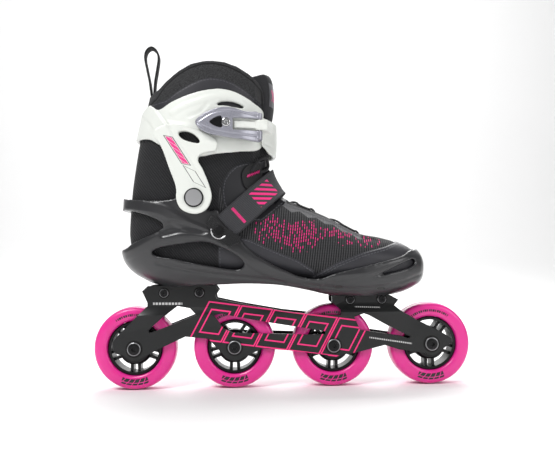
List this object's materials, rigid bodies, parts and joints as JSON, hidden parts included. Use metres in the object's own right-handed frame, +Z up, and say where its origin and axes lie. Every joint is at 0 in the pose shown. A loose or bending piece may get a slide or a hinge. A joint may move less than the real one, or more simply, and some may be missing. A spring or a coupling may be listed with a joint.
{
  "type": "inline skate",
  "caption": "Inline skate with four pink wheels in a black frame, a moulded base, a soft boot, a white hinged cuff, a lever buckle and an instep strap.",
  "frame": {"origin": "on the ground in the wheels' plane, below the middle of the wheelbase", "axes": "+X towards the toe, +Z up, +Y towards the skater's other foot; the buckle is on the -Y side"},
  "size_m": [0.368, 0.1085, 0.338],
  "materials": {
    "tyre": "satin",
    "hub_black": "satin",
    "bearing_steel": "satin",
    "black_steel": "satin",
    "bright_steel": "gloss",
    "frame_black": "satin",
    "shell_grey": "satin",
    "boot_fabric": "matte",
    "lining": "matte",
    "webbing": "matte",
    "gloss_black": "gloss",
    "cuff_white": "satin",
    "rivet_grey": "satin",
    "lever_silver": "satin"
  },
  "bodies": {
    "root": {"wheel_1_bearing_spacer": "bearing_steel", "wheel_1_axle_bolt": "black_steel", "wheel_2_bearing_spacer": "bearing_steel", "wheel_2_axle_bolt": "black_steel", "wheel_3_bearing_spacer": "bearing_steel", "wheel_3_axle_bolt": "black_steel", "wheel_4_bearing_spacer": "bearing_steel", "wheel_4_axle_bolt": "black_steel", "outer_frame_plate": "frame_black", "inner_frame_plate": "frame_black", "rear_mount_block": "hub_black", "front_mount_block": "hub_black", "rear_mount_screw_1": "black_steel", "rear_mount_screw_2": "black_steel", "front_mount_screw_1": "black_steel", "front_mount_screw_2": "black_steel", "rear_sole_bolt": "black_steel", "front_sole_bolt": "black_steel", "strap_anchor_rivet_outer_side": "black_steel", "strap_anchor_rivet_inner_side": "black_steel", "base_shell": "shell_grey", "boot_foot": "boot_fabric", "footbed": "lining", "lace": "webbing", "instep_strap": "webbing", "strap_anchor_outer_side": "gloss_black", "strap_anchor_inner_side": "gloss_black", "cuff_pivot_rivet_outer_side": "rivet_grey", "cuff_pivot_rivet_inner_side": "rivet_grey"},
    "cuff_body": {"cuff": "cuff_white", "boot_collar": "boot_fabric", "tongue": "boot_fabric", "pull_loop": "webbing", "closing_band": "cuff_white", "closing_band_rivet": "bright_steel", "buckle_lever_pin": "bright_steel"},
    "lever_body": {"buckle_lever": "lever_silver", "buckle_lever_screw": "bright_steel"},
    "wheel_1": {"wheel_1_tyre": "tyre", "wheel_1_hub": "hub_black", "wheel_1_bearing_outer_side": "bearing_steel", "wheel_1_bearing_inner_side": "bearing_steel"},
    "wheel_2": {"wheel_2_tyre": "tyre", "wheel_2_hub": "hub_black", "wheel_2_bearing_outer_side": "bearing_steel", "wheel_2_bearing_inner_side": "bearing_steel"},
    "wheel_3": {"wheel_3_tyre": "tyre", "wheel_3_hub": "hub_black", "wheel_3_bearing_outer_side": "bearing_steel", "wheel_3_bearing_inner_side": "bearing_steel"},
    "wheel_4": {"wheel_4_tyre": "tyre", "wheel_4_hub": "hub_black", "wheel_4_bearing_outer_side": "bearing_steel", "wheel_4_bearing_inner_side": "bearing_steel"}
  },
  "joints": [
    {"name": "wheel_1_spin", "type": "hinge", "parent": "root", "child": "wheel_1", "pos_m": [-0.144, 0, 0.04], "axis": [0, 1, 0], "continuous": true},
    {"name": "wheel_2_spin", "type": "hinge", "parent": "root", "child": "wheel_2", "pos_m": [-0.048, 0, 0.04], "axis": [0, 1, 0], "continuous": true},
    {"name": "wheel_3_spin", "type": "hinge", "parent": "root", "child": "wheel_3", "pos_m": [0.048, 0, 0.04], "axis": [0, 1, 0], "continuous": true},
    {"name": "wheel_4_spin", "type": "hinge", "parent": "root", "child": "wheel_4", "pos_m": [0.144, 0, 0.04], "axis": [0, 1, 0], "continuous": true},
    {"name": "cuff_lean", "type": "hinge", "parent": "root", "child": "cuff_body", "pos_m": [-0.0835, 0, 0.182], "axis": [0, 1, 0], "range_deg": [-4, 8], "stiffness_Nm_per_rad": 60},
    {"name": "buckle_lever_swing", "type": "hinge", "parent": "cuff_body", "child": "lever_body", "pos_m": [-0.0225, -0.0455, 0.25], "axis": [0, 0, 1], "range_deg": [0, 105]}
  ]
}
